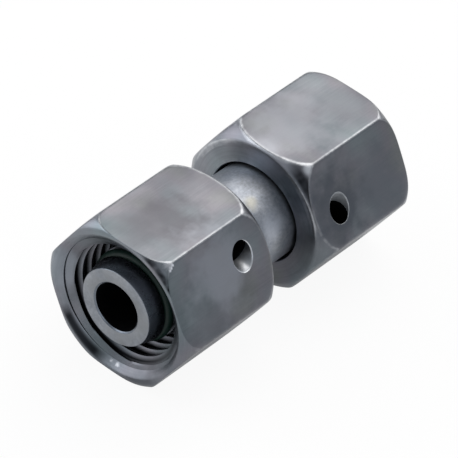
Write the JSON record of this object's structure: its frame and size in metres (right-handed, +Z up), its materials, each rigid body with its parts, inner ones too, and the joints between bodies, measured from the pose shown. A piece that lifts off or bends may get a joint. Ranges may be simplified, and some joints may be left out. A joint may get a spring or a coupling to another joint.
{
  "type": "straight union fitting",
  "caption": "Straight union fitting: a turned sleeve with a sealing cone and soft seal ring at each end, and a hexagon swivel nut at each end held by a lock wire.",
  "frame": {"origin": "middle of the sleeve, on its axis", "axes": "+X along the fitting's axis towards the rear nut, +Z up out of a flat of each nut"},
  "size_m": [0.0402, 0.0218, 0.019],
  "materials": {
    "sleeve_steel": "matte plated",
    "nut_steel": "satin plated",
    "wire_steel": "drawn, bright",
    "seal_rubber": "satin"
  },
  "bodies": {
    "sleeve": {"union_body": "sleeve_steel", "front_o_ring": "seal_rubber", "rear_o_ring": "seal_rubber"},
    "front_nut_with_wire": {"front_nut": "nut_steel", "front_lock_wire": "wire_steel"},
    "rear_nut_with_wire": {"rear_nut": "nut_steel", "rear_lock_wire": "wire_steel"}
  },
  "joints": [
    {"name": "front_nut_turn", "type": "hinge", "parent": "sleeve", "child": "front_nut_with_wire", "pos_m": [-0.0081, 0, 0], "axis": [1, 0, 0], "continuous": true},
    {"name": "rear_nut_turn", "type": "hinge", "parent": "sleeve", "child": "rear_nut_with_wire", "pos_m": [0.0081, 0, 0], "axis": [1, 0, 0], "continuous": true}
  ]
}
